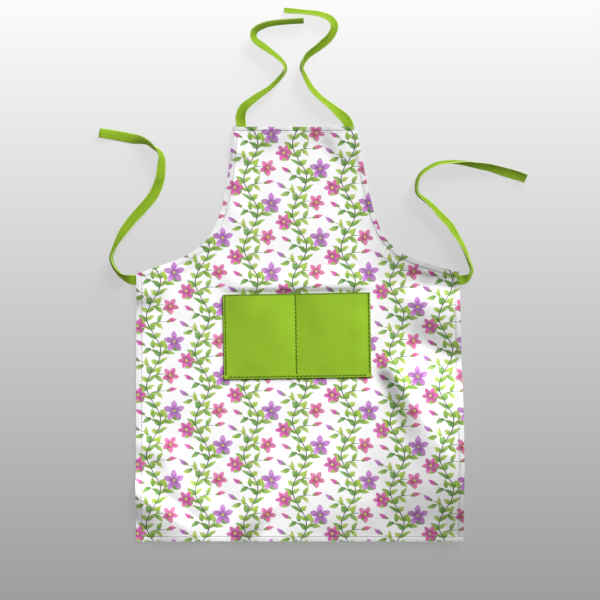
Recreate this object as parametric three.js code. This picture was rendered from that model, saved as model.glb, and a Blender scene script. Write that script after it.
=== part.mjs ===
// Kitchen apron laid out flat with its front up: a printed bib and skirt in one panel,
// a two-pouch patch pocket and four tie tapes.
// Millimetres. +X is the right of the laid apron, +Y runs from the bottom hem to the bib,
// and +Z points up off the surface that it lies on.

import * as THREE from 'three';

// Cloth
const clothThickness = 1.2;
const hemExtra = 1.0; // what the turned-under edge adds to the cloth
const hemStep = 2.0; // width of the slope from the hem down to the single cloth
const pieceGap = 0.3; // air between pieces that touch

// Panel: half length from the origin to the bottom hem and to the bib's top
const halfLength = 443;
const hemHalfWidth = 350;
const sideHem = 13;
const bottomHem = 11;
const topHem = 10;

// Corners of each side's outline, and the two handles of the armhole curve
const sides = {
  left: {
    hem: [-hemHalfWidth, -halfLength],
    waist: [-348.5, 129.5],
    waistHandle: [-196, 179],
    bibHandle: [-163, 178],
    bib: [-143.5, halfLength],
  },
  right: {
    hem: [hemHalfWidth, -halfLength],
    waist: [340.5, 132.5],
    waistHandle: [154, 176],
    bibHandle: [173, 195],
    bib: [120, halfLength],
  },
};

// Cells of the panel: across it, and up the skirt and the bib between their hems
const panelColumns = 38;
const hemColumns = 4; // of them, two in each side hem
const skirtRows = 27;
const bibRows = 20;

// Pocket, in a frame of its own that starts at its lower left corner
const pocketWidth = 315;
const pocketHeight = 181;
const pocketCorner = [-161, -96.5];
const pocketLean = THREE.MathUtils.degToRad(0.9);
const pocketSeam = 6; // flat strip that is sewn down
const centreSeamX = 155;
const pouchLift = 10; // how far a pouch stands off at the middle of its mouth
const pouchFullness = 2.6; // how flat a pouch's top is from side to side
const pouchOpening = 2.2; // how soon it opens above the bottom seam
const pouchColumns = 9;
const pocketRows = 10;
const stiffReach = 20; // the sewn pocket keeps the panel flat this far round it

// Ties
const tieWidth = 22;
const tieThickness = 1.2;
const stepsPerRow = 3; // stations of a tie's tape for each row of its route
const seatRaise = 2.4; // lifts the panel clear of the tie end sewn behind it
const seatReach = 31; // flat part of that lift, from the tie's centre line
const seatFade = 32;
const sewnRun = 26; // length of a tie that follows the panel's lie
const sewnFall = 36; // and of the stretch after it that comes down onto the surface

// Folds of the laid panel, one in each row. The crest runs from (x0, y0) to (x1, y1). left and
// right are the widths of the slopes on either hand of that run, and spread widens the right
// one towards the end. startFade and endFade are the shares of the run over which the fold dies
// out; a fold that runs off the panel's edge has 0 there. settle is how far from the flat cloth
// round the pocket it has its full height.
const foldColumns = [
  'name', 'x0', 'y0', 'x1', 'y1', 'height', 'left', 'right', 'spread', 'startFade', 'endFade', 'settle',
];
const foldRows = [
  ['waist_corner_right', 225, 245, 440, 220, 20, 260, 150, 1.3, 0.5, 0, 60],
  ['waist_swell', 245, 65, 420, 35, 12, 50, 75, 2.5, 0.35, 0, 60],
  ['hip_ridge', 205, -110, 420, -195, 24, 110, 225, 1.5, 0.4, 0, 60],
  ['hem_slope_right', 35, -380, 335, -285, 16, 185, 80, 2.5, 0.6, 0, 60],
  ['hem_swell_left', -115, -420, -50, -340, 12, 40, 40, 0.8, 0.45, 0.45, 60],
  ['hem_corner_left', -325, -355, -245, -415, 10, 35, 55, 1.5, 0, 0.4, 60],
  ['skirt_crease_left', -335, -240, -235, -270, 4.5, 40, 25, 2.5, 0.5, 0.5, 60],
  ['skirt_crease_low', -290, -300, -185, -380, 7, 40, 60, 1.8, 0.4, 0.4, 60],
  ['waist_crease_left', -345, 75, -275, 130, 4, 115, 40, 0.7, 0.3, 0.5, 60],
  ['bib_dip_left', -90, 430, -10, 455, 3, 60, 50, 1, 0.3, 0.3, 60],
  ['bib_dip_right', 25, 450, 110, 445, 2.5, 25, 45, 1.5, 0.3, 0.3, 60],
];

// Tie routes from the sewn end to the free end, in rows of x, y and turn. turn is the tape's
// roll about its own run in degrees: 0 lies flat, 90 stands on edge, and past 90 its back shows.
const tieRoutes = {
  neck_tie_left: [
    [-125, 421, 0], [-125, 436, 0], [-125, 450, 0], [-126, 467, -10],
    [-118, 486, -22], [-93, 506, -44], [-64, 526, -57], [-42, 548, -64],
    [-34, 567, -88], [-42, 587, -122], [-69, 609, -135], [-93, 626, -132],
    [-99, 638, -128], [-93, 651, -120], [-69, 662, -114], [-32, 667, -112],
    [9, 670, -112],
  ],
  neck_tie_right: [
    [106, 421, 0], [106, 434, 0], [105, 447, 0], [97, 461, 10],
    [74, 482, 42], [44, 506, 51], [22, 531, 54], [11, 555, 66],
    [8, 572, 82], [17, 594, 57], [42, 614, 49], [66, 636, 46],
    [75, 658, 46], [66, 674, 48], [44, 683, 52], [5, 689, 52],
    [-33, 692, 50],
  ],
  waist_tie_left: [
    [-326, 116, 0], [-340, 116, 0], [-353, 116, -4], [-370, 119, -46],
    [-386, 128, -68], [-399, 145, -74], [-404, 163, -72], [-398, 181, -64],
    [-386, 204, -46], [-363, 238, -14], [-337, 267, -4], [-314, 295, 4],
    [-300, 324, 17], [-295, 355, 33], [-295, 381, 58], [-306, 399, 84],
    [-332, 413, 130], [-370, 421, 170], [-428, 431, 196],
  ],
  waist_tie_right: [
    [318, 116, 10], [332, 116, 10], [346, 116, 14], [357, 119, 42],
    [366, 128, 70], [370, 139, 75], [364, 156, 75], [354, 179, 64],
    [338, 208, 54], [319, 236, 44], [294, 262, 52], [273, 284, 64],
    [256, 299, 73], [253, 312, 80], [257, 332, 92], [270, 348, 102],
    [294, 361, 102], [325, 364, 92], [358, 363, 70], [391, 358, 52],
    [434, 348, 41], [484, 332, 32],
  ],
};

// Finishes
const cottonRoughness = 0.88;
const finish = (color) => new THREE.MeshStandardMaterial({ color, roughness: cottonRoughness });
const printedCotton = finish(0xf4eff2);
const greenCotton = finish(0x90bb30);
const greenTape = finish(0x8cb830);

const { clamp, degToRad, lerp, smoothstep } = THREE.MathUtils;
const folds = foldRows.map((row) => Object.fromEntries(row.map((value, i) => [foldColumns[i], value])));
const vector2 = ([x, y]) => new THREE.Vector2(x, y);
const vector3 = ([x, y], z) => new THREE.Vector3(x, y, z);

// A hump over a distance of -1 to 1, level at its top and at both feet
function hump(distance) {
  return Math.max(0, 1 - distance ** 2) ** 2;
}

// Height that one fold gives the panel at a point
function foldHeight(fold, point) {
  const start = new THREE.Vector2(fold.x0, fold.y0);
  const run = new THREE.Vector2(fold.x1, fold.y1).sub(start);
  const fromStart = point.clone().sub(start);
  const along = fromStart.dot(run) / run.lengthSq();
  const across = run.cross(fromStart) / run.length();
  const slope = across > 0 ? fold.left : fold.right * lerp(1, fold.spread, clamp(along, 0, 1));
  const rise = fold.startFade ? smoothstep(along, -fold.startFade, fold.startFade) : 1;
  const fall = fold.endFade ? smoothstep(1 - along, -fold.endFade, fold.endFade) : 1;
  const free = smoothstep(distanceToPocket(point), stiffReach, stiffReach + fold.settle);
  return fold.height * hump(across / slope) * rise * fall * free;
}

// Distance from a point of the panel to the pocket's outline, 0 inside it
function distanceToPocket(point) {
  const corner = vector2(pocketCorner);
  const local = point.clone().rotateAround(corner, -pocketLean).sub(corner);
  const outX = Math.max(-local.x, local.x - pocketWidth, 0);
  const outY = Math.max(-local.y, local.y - pocketHeight, 0);
  return Math.hypot(outX, outY);
}

// 1 over a tie end that is sewn behind the panel, fading to 0 round it
function tieSeat(point) {
  const flatPoint = vector3(point.toArray(), 0);
  const distances = Object.values(tieRoutes).map(([sewnEnd, edge]) => {
    const sewn = new THREE.Line3(vector3(sewnEnd, 0), vector3(edge, 0));
    return sewn.closestPointToPoint(flatPoint, true, new THREE.Vector3()).distanceTo(flatPoint);
  });
  return 1 - smoothstep(Math.min(...distances), seatReach, seatReach + seatFade);
}

function foldedHeight(point) {
  return folds.reduce((sum, fold) => sum + foldHeight(fold, point), 0);
}

// Height of the panel's underside over the surface that it lies on
function panelLie(point) {
  return foldedHeight(point) + seatRaise * tieSeat(point);
}

// A closed sheet: a box of cells whose points are moved by place(column, row, onTop). The cells of
// its under side, the box's last group, are split along the same diagonals as those over them, so
// that a twisted sheet keeps its thickness.
function sheetGeometry(columns, rows, place) {
  const geometry = new THREE.BoxGeometry(1, 1, 1, columns, rows, 1);
  const position = geometry.attributes.position;
  const corners = geometry.index.array;
  const underSide = geometry.groups.at(-1);
  for (let i = underSide.start; i < underSide.start + underSide.count; i += 6) {
    const [a, b, d, , c] = corners.slice(i, i + 6);
    corners.set([a, b, c, a, c, d], i);
  }
  for (let i = 0; i < position.count; i += 1) {
    const column = Math.round((position.getX(i) + 0.5) * columns);
    const row = Math.round((position.getY(i) + 0.5) * rows);
    const onTop = position.getZ(i) > 0;
    place(column, row, onTop).toArray(position.array, i * position.itemSize);
  }
  geometry.computeVertexNormals();
  return geometry;
}

// Even stops from start to end, both included
function evenStops(start, end, cells) {
  return Array.from({ length: cells + 1 }, (_, i) => lerp(start, end, i / cells));
}

// One side of the panel from the bottom hem to the bib: the skirt's edge, then the armhole
function sidePoints(side) {
  const hem = vector2(side.hem);
  const waist = vector2(side.waist);
  const bib = vector2(side.bib);
  const bibHandle = vector2(side.bibHandle);
  const skirtLength = waist.y - hem.y;
  const skirtStops = [0, bottomHem, ...evenStops(bottomHem + hemStep, skirtLength, skirtRows)];
  const skirt = skirtStops.map((stop) => {
    const flare = (stop / skirtLength) ** 2;
    return new THREE.Vector2(lerp(hem.x, waist.x, flare), hem.y + stop);
  });
  const armhole = new THREE.CubicBezierCurve(waist, vector2(side.waistHandle), bibHandle, bib);
  const down = bibHandle.clone().sub(bib).normalize();
  const hemLines = [topHem + hemStep, topHem, 0].map((drop) => bib.clone().addScaledVector(down, drop));
  return [...skirt, ...armhole.getSpacedPoints(bibRows).slice(1, -1), ...hemLines];
}

function panelGeometry() {
  const leftSide = sidePoints(sides.left);
  const rightSide = sidePoints(sides.right);
  const rows = leftSide.length - 1;
  const evenColumns = panelColumns - hemColumns;
  const turnedUnder = (index, last) => Math.min(index, last - index) <= 1;
  return sheetGeometry(panelColumns, rows, (column, row, onTop) => {
    const left = leftSide[row];
    const right = rightSide[row];
    const width = right.x - left.x;
    const inset = sideHem + hemStep;
    const even = evenStops(inset, width - inset, evenColumns);
    const stops = [0, sideHem, ...even, width - sideHem, width];
    const point = left.clone().lerp(right, stops[column] / width);
    const hemmed = turnedUnder(column, panelColumns) || turnedUnder(row, rows);
    const thickness = clothThickness + (hemmed ? hemExtra : 0);
    return vector3(point.toArray(), panelLie(point) + (onTop ? thickness : 0));
  });
}

// How far a pouch stands off: across runs from 0 to 1 between its sewn sides, up from 0 at the
// bottom seam to 1 at the mouth
function pouchBulge(across, up) {
  const round = 1 - Math.abs(2 * across - 1) ** pouchFullness;
  const open = 1 - (1 - up) ** pouchOpening;
  return pouchLift * round * open;
}

function pocketGeometry() {
  const leftPouch = evenStops(pocketSeam, centreSeamX - pocketSeam / 2, pouchColumns);
  const rightPouch = evenStops(centreSeamX + pocketSeam / 2, pocketWidth - pocketSeam, pouchColumns);
  const shares = evenStops(0, 1, pouchColumns);
  const stops = [0, ...leftPouch, ...rightPouch, pocketWidth];
  const acrossPouch = [0, ...shares, ...shares, 0];
  const heights = [0, ...evenStops(pocketSeam, pocketHeight, pocketRows)];
  return sheetGeometry(stops.length - 1, heights.length - 1, (column, row, onTop) => {
    const up = Math.max(0, heights[row] - pocketSeam) / (pocketHeight - pocketSeam);
    const bulge = pouchBulge(acrossPouch[column], up);
    return new THREE.Vector3(stops[column], heights[row], bulge + (onTop ? clothThickness : 0));
  });
}

// A tape along its route, rolled about its run, from the sewn end under the panel down onto the
// surface, where its lower edge lies
function tieGeometry(route) {
  const smooth = (points) => new THREE.CatmullRomCurve3(points, false, 'catmullrom');
  const run = smooth(route.map((row) => vector3(row, 0)));
  const roll = smooth(route.map(([, , turn]) => new THREE.Vector3(0, 0, degToRad(turn))));
  const up = new THREE.Vector3(0, 0, 1);
  const steps = stepsPerRow * (route.length - 1);
  const stations = evenStops(0, 1, steps).map((t) => {
    const forward = run.getTangent(t);
    const across = up.clone().cross(forward).applyAxisAngle(forward, roll.getPoint(t).z);
    const face = forward.clone().cross(across);
    const halfHeight = (tieWidth * Math.abs(across.z) + tieThickness * Math.abs(face.z)) / 2;
    const centre = run.getPoint(t);
    const sewn = 1 - smoothstep(centre.distanceTo(run.getPoint(0)), sewnRun, sewnRun + sewnFall);
    const lifted = sewn * (tieThickness / 2 + foldedHeight(new THREE.Vector2(centre.x, centre.y)));
    centre.z = pieceGap + Math.max(halfHeight, lifted);
    return { centre, across, face };
  });
  return sheetGeometry(steps, 1, (step, edge, onTop) => {
    const { centre, across, face } = stations[step];
    const point = centre.clone().addScaledVector(across, tieWidth * (edge - 0.5));
    return point.addScaledVector(face, tieThickness * (onTop ? 0.5 : -0.5));
  });
}

function piece(name, geometry, material) {
  const mesh = new THREE.Mesh(geometry, material);
  mesh.name = name;
  return mesh;
}

const apron = new THREE.Group();
apron.add(piece('apron_panel', panelGeometry(), printedCotton));

const pocket = piece('pocket_panel', pocketGeometry(), greenCotton);
pocket.position.set(...pocketCorner, clothThickness + pieceGap);
pocket.rotation.z = pocketLean;
apron.add(pocket);

for (const [name, route] of Object.entries(tieRoutes)) {
  apron.add(piece(name, tieGeometry(route), greenTape));
}

export default apron;
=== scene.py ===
"""Kitchen apron laid out flat with its front up, seen from straight above.

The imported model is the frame: metres, +X to the right of the laid apron, +Y from the bottom hem to the bib,
+Z up off the floor. Every cloth piece of it is made again here with its hems, seams, stitches and finish.
"""

import math

import bpy
import numpy as np
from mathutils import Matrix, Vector, noise


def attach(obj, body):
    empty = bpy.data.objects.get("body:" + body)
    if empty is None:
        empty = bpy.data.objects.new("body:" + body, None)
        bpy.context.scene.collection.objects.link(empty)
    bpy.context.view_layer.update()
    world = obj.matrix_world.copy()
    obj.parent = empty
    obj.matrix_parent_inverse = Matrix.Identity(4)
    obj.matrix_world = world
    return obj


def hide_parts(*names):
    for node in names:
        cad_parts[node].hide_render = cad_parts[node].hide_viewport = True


# Cloth and hems: the groove's width and the place where the turned layers end are shares of a hem's width
CLOTH = 0.0012
HEM_EXTRA = 0.0010
HEM_LAYERS_END = (0.96, 1.2)
HEM_GROOVE = 0.0005
HEM_GROOVE_WIDTH = 0.07
HEM_EASE = 0.045
TOP_CURL = 0.0003
TOP_CURL_POWER = 1.5
RIM_ANGLE = math.radians(50)
PIECE_GAP = 0.0003

# Panel outline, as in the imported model
SIDE_HEM = 0.013
BOTTOM_HEM = 0.011
TOP_HEM = 0.010
SIDES = {
    "left": {
        "hem": (-0.350, -0.443),
        "waist": (-0.3485, 0.1295),
        "waist_handle": (-0.196, 0.179),
        "bib_handle": (-0.163, 0.178),
        "bib": (-0.1435, 0.443),
    },
    "right": {
        "hem": (0.350, -0.443),
        "waist": (0.3405, 0.1325),
        "waist_handle": (0.154, 0.176),
        "bib_handle": (0.173, 0.195),
        "bib": (0.120, 0.443),
    },
}
MITRE_REACH = 0.080
ARMHOLE_STEPS = 400

# Cells of the panel between its hems, the stops across a hem as shares of its width, and the sewn one
PANEL_COLUMNS = 112
SKIRT_ROWS = 108
BIB_ROWS = 72
HEM_STOPS = np.array([0.0, 0.05, 0.13, 0.34, 0.6, 0.79, 0.88, 0.97, 1.08, 1.25])
STITCH_STOP = 6

# Pocket, in a frame of its own that starts at its lower left corner
POCKET_WIDTH = 0.315
POCKET_HEIGHT = 0.181
POCKET_CORNER = (-0.161, -0.0965)
POCKET_LEAN = math.radians(0.9)
POCKET_SEAM = 0.006
CENTRE_SEAM = 0.155
POUCH_LIFT = 0.010
POUCH_FULLNESS = 2.6
POUCH_OPENING = 2.2
POCKET_TURNING = 0.0006
POCKET_TURNING_END = (0.0075, 0.0100)
POCKET_GROOVE = 0.0005
POCKET_GROOVE_WIDTH = 0.0012
POCKET_EDGE_ROLL = 0.0001
POCKET_ROLL_REACH = 0.0016
# Painted shade: width of the dark band along the pocket's mouth
MOUTH_SHADE_WIDTH = 0.0046

# Cells of each pouch, the stops across the centre seam, and the first stops in from the pocket's edges
POUCH_COLUMNS = 25
POUCH_ROWS = 31
CENTRE_SEAM_STOPS = 5
POCKET_EDGE_STOPS = (0.0, 0.0006, 0.0016, 0.0030)

# Ties
TIE_WIDTH = 0.022
TIE_THICKNESS = 0.0012
TIE_STEPS = 10
SEAT_RAISE = 0.0024
SEAT_REACH = 0.031
SEAT_FADE = 0.032
SEWN_RUN = 0.026
SEWN_FALL = 0.036

# Folds of the laid panel: the crest's two ends, height, the slopes' widths on its left and right hand,
# how far the right one spreads, the shares of the run over which the fold dies out at its start and end,
# and how far from the sewn pocket it has its full height
FOLD_COLUMNS = (
    "x0", "y0", "x1", "y1", "height", "left", "right", "spread", "start_fade", "end_fade", "settle",
)
FOLDS = {
    "waist_corner_right": (0.225, 0.245, 0.440, 0.220, 0.020, 0.260, 0.150, 1.3, 0.5, 0, 0.060),
    "waist_swell": (0.245, 0.065, 0.420, 0.035, 0.012, 0.050, 0.075, 2.5, 0.35, 0, 0.060),
    "hip_ridge": (0.205, -0.110, 0.420, -0.195, 0.024, 0.110, 0.225, 1.5, 0.4, 0, 0.060),
    "hip_crease": (0.190, -0.060, 0.290, -0.220, 0.008, 0.015, 0.035, 2, 0.1, 0.45, 0.012),
    "hem_slope_right": (0.035, -0.380, 0.335, -0.285, 0.016, 0.185, 0.080, 2.5, 0.6, 0, 0.060),
    "hem_swell_left": (-0.115, -0.420, -0.050, -0.340, 0.012, 0.040, 0.040, 0.8, 0.45, 0.45, 0.060),
    "hem_corner_left": (-0.325, -0.355, -0.245, -0.415, 0.010, 0.035, 0.055, 1.5, 0, 0.4, 0.060),
    "skirt_crease_left": (-0.335, -0.240, -0.235, -0.270, 0.0045, 0.040, 0.025, 2.5, 0.5, 0.5, 0.060),
    "skirt_crease_low": (-0.290, -0.300, -0.185, -0.380, 0.007, 0.040, 0.060, 1.8, 0.4, 0.4, 0.060),
    "waist_crease_left": (-0.345, 0.075, -0.275, 0.130, 0.004, 0.115, 0.040, 0.7, 0.3, 0.5, 0.060),
    "bib_dip_left": (-0.090, 0.430, -0.010, 0.455, 0.003, 0.060, 0.050, 1, 0.3, 0.3, 0.060),
    "bib_dip_right": (0.025, 0.450, 0.110, 0.445, 0.0025, 0.025, 0.045, 1.5, 0.3, 0.3, 0.060),
    "bib_edge_left": (-0.148, 0.230, -0.130, 0.446, 0.0016, 0.017, 0.050, 1, 0.2, 0, 0.060),
    "mouth_roll": (-0.150, 0.100, 0.140, 0.104, 0.0035, 0.045, 0.015, 1, 0.1, 0.1, 0.004),
}

# Soft unevenness of the panel: height and width of each layer of wrinkles, how far from the pocket they
# have their full height, and the puckers along the hems
WRINKLES = ((0.0016, 0.150), (0.0007, 0.055))
WRINKLE_SETTLE = 0.060
PUCKER = 0.0006
PUCKER_WIDTH = 0.014
PUCKER_LAYER = 5

# Soft unevenness of the pocket: the cloth slackens away from its seams, and puckers close to them
POCKET_SLACK = 0.0006
POCKET_SLACK_WIDTH = 0.060
POCKET_SLACK_REACH = (0.004, 0.030)
POCKET_SLACK_LAYER = 9
POCKET_PUCKER = 0.0003
POCKET_PUCKER_WIDTH = 0.0078
POCKET_PUCKER_REACH = (0.006, 0.020)
POCKET_PUCKER_LAYER = 11

# Tie routes from the sewn end to the free end: x, y and the tape's roll about its run in degrees
TIE_ROUTES = {
    "neck_tie_left": (
        (-0.125, 0.421, 0), (-0.125, 0.436, 0), (-0.125, 0.450, 0), (-0.126, 0.467, -10),
        (-0.118, 0.486, -22), (-0.093, 0.506, -44), (-0.064, 0.526, -57), (-0.042, 0.548, -64),
        (-0.034, 0.567, -88), (-0.042, 0.587, -122), (-0.069, 0.609, -135), (-0.093, 0.626, -132),
        (-0.099, 0.638, -128), (-0.093, 0.651, -120), (-0.069, 0.662, -114), (-0.032, 0.667, -112),
        (0.009, 0.670, -112),
    ),
    "neck_tie_right": (
        (0.106, 0.421, 0), (0.106, 0.434, 0), (0.105, 0.447, 0), (0.097, 0.461, 10),
        (0.074, 0.482, 42), (0.044, 0.506, 51), (0.022, 0.531, 54), (0.011, 0.555, 66),
        (0.008, 0.572, 82), (0.017, 0.594, 57), (0.042, 0.614, 49), (0.066, 0.636, 46),
        (0.075, 0.658, 46), (0.066, 0.674, 48), (0.044, 0.683, 52), (0.005, 0.689, 52),
        (-0.033, 0.692, 50),
    ),
    "waist_tie_left": (
        (-0.326, 0.116, 0), (-0.340, 0.116, 0), (-0.353, 0.116, -4), (-0.370, 0.119, -46),
        (-0.386, 0.128, -68), (-0.399, 0.145, -74), (-0.404, 0.163, -72), (-0.398, 0.181, -64),
        (-0.386, 0.204, -46), (-0.363, 0.238, -14), (-0.337, 0.267, -4), (-0.314, 0.295, 4),
        (-0.300, 0.324, 17), (-0.295, 0.355, 33), (-0.295, 0.381, 58), (-0.306, 0.399, 84),
        (-0.332, 0.413, 130), (-0.370, 0.421, 170), (-0.428, 0.431, 196),
    ),
    "waist_tie_right": (
        (0.318, 0.116, 10), (0.332, 0.116, 10), (0.346, 0.116, 14), (0.357, 0.119, 42),
        (0.366, 0.128, 70), (0.370, 0.139, 75), (0.364, 0.156, 75), (0.354, 0.179, 64),
        (0.338, 0.208, 54), (0.319, 0.236, 44), (0.294, 0.262, 52), (0.273, 0.284, 64),
        (0.256, 0.299, 73), (0.253, 0.312, 80), (0.257, 0.332, 92), (0.270, 0.348, 102),
        (0.294, 0.361, 102), (0.325, 0.364, 92), (0.358, 0.363, 70), (0.391, 0.358, 52),
        (0.434, 0.348, 41), (0.484, 0.332, 32),
    ),
}

# Section of a tie's tape round its edge: shares of its width and of its thickness
TAPE_ACROSS = np.array([-0.5, -0.475, -0.36, -0.18, 0.0, 0.18, 0.36, 0.475, 0.5])
TAPE_EDGE = np.array([0.12, 0.5, 0.46, 0.42, 0.4, 0.42, 0.46, 0.5, 0.12])
TAPE_CUP = 0.0028
TAPE_CURL = 0.0045
TAPE_CURL_POWER = 8
TAPE_RIPPLE = 0.0046
TAPE_RIPPLE_LENGTH = 0.034
# Painted highlight: a paler band along each edge of the tape
EDGE_HIGHLIGHT_START = 0.0092
EDGE_HIGHLIGHT_FADE = 0.0008

# Stitches: pitch, length and thickness, how far the pocket's lean to their run, and the shape of one stitch
# with its spread in turn and size
HEM_STITCH = (0.0062, 0.0046, 0.0010)
POCKET_STITCH = (0.0090, 0.0094, 0.0030)
POCKET_STITCH_LEAN = math.radians(18)
POCKET_STITCH_INSET = 0.0038
STITCH_SIDES = 6
STITCH_RINGS = 5
STITCH_FLATNESS = 0.5
STITCH_BLUNTNESS = 0.6
STITCH_RISE = 0.25
STITCH_TURN_SPREAD = 0.05
STITCH_SIZE_SPREAD = (0.92, 1.06)
STITCH_SEED = 7

# Print, in millimetres of cloth on a half-drop repeat
# A vine winds up each column, with leaves on it and sprigs off it
PRINT_UNIT = 0.001
REPEAT_WIDTH = 104.0
REPEAT_HEIGHT = 148.0
VINE_SWING = 15.0
VINE_WIDTH = 2.1
VINE_EDGE = (-0.2, 0.3)
VINE_LEAF_STEP = REPEAT_HEIGHT / 4
INKS = {
    "twig": ("#463d42", "#6a6845"),
    "leaf": ("#4c901c", "#b6da3a"),
    "deep": ("#357a24", "#8cc634"),
    "lime": ("#88b71c", "#cce45a"),
    "pink": ("#b41088", "#ee62bc"),
    "rose": ("#c81a7c", "#f27ab8"),
    "violet": ("#982caa", "#d588dc"),
    "calyx": ("#6b8c26", "#94b936"),
}
VINE_INK = "#463d42"
GROUND = "#fdfcfd"

# The print's hand: lumps of the ink to a millimetre and its cover there, and the lines' lumps and sway
INK_LUMPS = 0.12
INK_CLOUD = (0.3, 0.7)
INK_COVER = (0.84, 1.0)
SWAY_LUMPS = 0.10
SWAY = 2.4

# Brush strokes: the shares of the length that are worked out, the scale that makes a bend's arch 1 high, the
# taper, the edge's softness, and the tones of the rib, the two halves and the rim
STROKE_SHARES = (-0.2, 1.2)
ARCH_SCALE = 4.0
STROKE_TAPER = (-1.4, 2.7)
STROKE_EDGE = (-0.25, 0.35)
RIB_WIDTH = 1.1
RIB_TONES = {
    "twig": 1.0, "leaf": 0.74, "deep": 0.74, "lime": 0.74,
    "pink": 0.88, "rose": 0.88, "violet": 0.88, "calyx": 0.88,
}
HALVES_FADE = (-1.0, 1.0)
HALVES_TONES = (0.87, 1.02)
STROKE_RIM_WIDTH = 1.0
STROKE_RIM_TONE = 0.82

# Blossoms: the petals' swell towards the tip, the edge's softness, the tones of the vein, of one petal
# after another and of the rim, the change from base to tip, and the heart's edge
PETAL_SWELL = (1.8, 1.1)
PETAL_EDGE = (-0.3, 0.4)
VEIN_WIDTH = 0.8
VEIN_TONE = 0.8
PETAL_TURN = 2.4
PETAL_TONES = (0.12, 0.88)
PETAL_RIM_WIDTH = 1.3
PETAL_RIM_TONE = 0.72
PETAL_CHANGE = (0.1, 0.75)
HEART_EDGE = (2.2, 3.4)

# Leaves that repeat up the vine: ink, start up the vine, heading, length, width, bend
VINE_LEAVES = (
    ("leaf", 8, 42, 24, 10, 1.5),
    ("deep", 26, 140, 24, 10, -1.5),
    ("lime", 29, 32, 20, 8.5, 1.5),
    ("lime", 9, 148, 20, 8.5, -1.5),
)

# Sprigs: where each leaves the vine, its strokes (ink, x, y, heading, length, width, bend) and its blossoms
# (ink, x, y, heading, radius, petal width, petals, heart)
SPRIGS = (
    (
        (14, 24),
        (
            ("twig", 0, 0, 48, 40, 1.8, 3),
            ("leaf", 8, 11, -6, 24, 10, 1.5),
            ("lime", 13, 16, 112, 22, 9, -1.5),
            ("deep", 22, 26, -28, 24, 10, -1.5),
        ),
        (("violet", 30, 34, 20, 23, 12.5, 5, "#c3c24e"),),
    ),
    (
        (-5, 82),
        (
            ("twig", 0, 0, 160, 27, 1.8, -2),
            ("leaf", -14, 6, 215, 24, 10, 1.5),
            ("lime", -16, 8, 100, 24, 10, 1.5),
        ),
        (("pink", -29, 10, 5, 18.5, 9.5, 6, "#d9d36a"),),
    ),
    (
        (-9, 130),
        (
            ("twig", 0, 0, 8, 42, 1.8, 3),
            ("leaf", 12, 3, -40, 23, 9.5, 1.2),
            ("lime", 17, 4, 68, 22, 9, 1.5),
            ("deep", 34, 6, -62, 24, 10, 1.5),
        ),
        (("rose", 45, 4, 60, 18.5, 10.5, 5, "#c9c95a"),),
    ),
    (
        (14, 34),
        (
            ("twig", 0, 0, 155, 42, 1.8, 3),
            ("leaf", -14, 9, 95, 22, 9, 1.5),
            ("deep", -19, 9, 212, 22, 9, -1.5),
            ("pink", -34, 17, 150, 22, 8.5, 1),
            ("calyx", -32, 16, 150, 9.5, 5.4, 0),
        ),
        (),
    ),
    (
        (-11, 94),
        (
            ("twig", 0, 0, 8, 44, 1.8, 3),
            ("lime", 15, 4, -42, 21, 8.5, 1.5),
            ("leaf", 20, 5, 60, 22, 9, 1.5),
            ("rose", 40, 7, 12, 22, 8.5, 1),
            ("calyx", 38, 6.6, 12, 9.5, 5.4, 0),
        ),
        (),
    ),
    (
        (0, -2),
        (
            ("twig", 0, 0, 150, 38, 1.8, -3),
            ("lime", -13, 6, 98, 22, 9, 1.5),
            ("leaf", -20, 10, 196, 23, 9.5, 1.5),
            ("violet", -31, 19, 146, 22, 8.5, 1),
            ("calyx", -29.4, 18, 146, 9.5, 5.4, 0),
        ),
        (),
    ),
)

# Dyes and threads, with painted shade on the hem bands, along the pocket's mouth and on the hem thread, and a
# painted highlight on the tape's edges
POCKET_GREEN = "#96c124"
# Painted shade along the pocket's mouth
MOUTH_SHADE_GREEN = "#64861b"
TAPE_GREEN = "#8aae22"
# Painted highlight along the tape's edges
EDGE_HIGHLIGHT_GREEN = "#b5cd72"
POCKET_THREAD = "#416b08"
# Painted shade: hem thread coloured grey for the shade along the stitch line
HEM_THREAD_SHADE_GREY = "#7f7e84"
DYE_LUMPS = 14.0
DYE_CLOUD = (0.3, 0.62)
DYE_DARK = 0.90
# Painted shade: the share by which the hem bands' colour is darkened
HEM_PAINTED_SHADE = 0.11
BACK_PALENESS = 0.72

# Weave of each cloth: the thread's width, the relief's depth and the roughness
PRINT_WEAVE = (0.00055, 0.00012, 0.88)
POCKET_WEAVE = (0.0007, 0.00016, 0.86)
TAPE_WEAVE = (0.0009, 0.00005, 0.84)
# Painted shade: the weave's low places darker, by these tones from its height
WEAVE_SHADE_TONES = (0.05, 0.965)
WEAVE_RELIEF = 0.35

# Slubs in the threads, and worn patches: lumps to a metre, and what they change
FINE_DETAIL = 3.0
SLUB_LUMPS = 260.0
SLUB_TONE = 0.07
SLUB_RELIEF = 0.6
WORN_LUMPS = 24.0
WORN_CLOUD = (0.3, 0.7)
WORN_ROUGHNESS = (-0.06, 0.05)

# Sheen and gloss of the cloth, and the light that the tape lets through
SHEEN_ROUGHNESS = 0.6
COTTON_SHEEN = 0.12
COTTON_GLOSS = 0.25
TAPE_SHEEN = 0.04
TAPE_GLOSS = 0.12
TAPE_GLOW_THROUGH = 0.2
TAPE_GLOW_DEPTH = 0.005

# Sewing thread: plies to a metre, how far they wander, and their tone, roughness and relief
THREAD_PLIES = 420.0
THREAD_WANDER = 1.5
# Painted shade: the grooves between the plies darker
THREAD_GROOVE_SHADE = 0.8
THREAD_ROUGHNESS = (0.78, 0.6)
THREAD_GLOSS = 0.15
THREAD_RELIEF = 0.4
THREAD_RELIEF_DEPTH = 0.0001

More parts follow.
